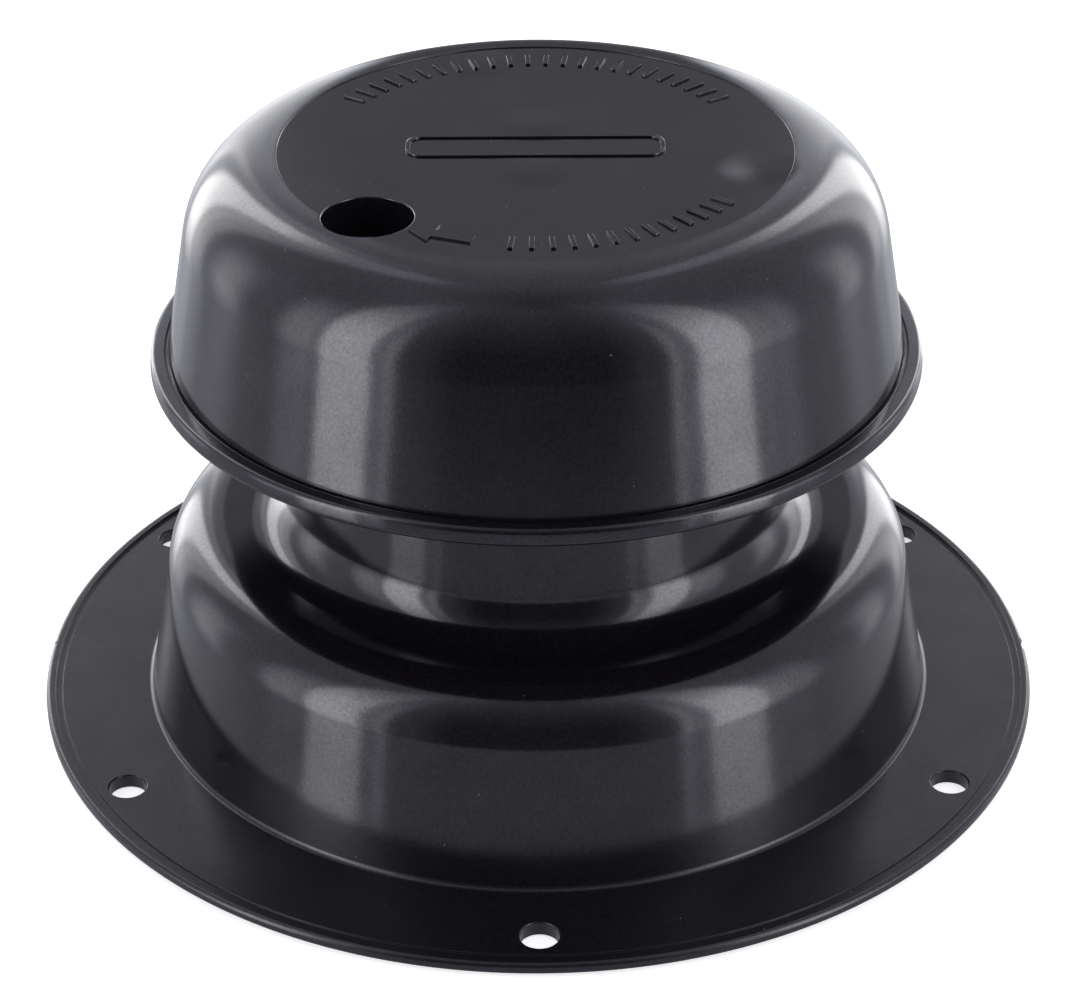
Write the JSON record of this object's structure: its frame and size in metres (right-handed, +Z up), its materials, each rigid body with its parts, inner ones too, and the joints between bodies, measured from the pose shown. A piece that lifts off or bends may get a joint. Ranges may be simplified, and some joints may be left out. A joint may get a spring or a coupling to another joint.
{
  "type": "roof vent cover",
  "caption": "Round roof vent cover: a flanged, domed base with a neck for the vent pipe, under a domed cap held on legs by a screw.",
  "frame": {"origin": "on the pipe's axis, at the underside of the roof flange", "axes": "+Z up, away from the roof; -Y towards the first flange hole; the cap's screw tower stands in the -X, -Y quarter"},
  "size_m": [0.18, 0.18, 0.1045],
  "materials": {
    "base_plastic": "satin moulded black, UV-stable",
    "cap_plastic": "satin moulded black, UV-stable",
    "screw_steel": "stainless, bright"
  },
  "bodies": {
    "base": {"flanged_base": "base_plastic"},
    "cap": {"cap": "cap_plastic"},
    "cap_screw": {"cap_screw": "screw_steel"}
  },
  "joints": [
    {"name": "cap_lift", "type": "slide", "parent": "base", "child": "cap", "axis": [0, 0, 1], "range_m": [0, 0.06]},
    {"name": "cap_screw_out", "type": "slide", "parent": "cap", "child": "cap_screw", "axis": [0, 0, 1], "range_m": [0, 0.05]}
  ]
}
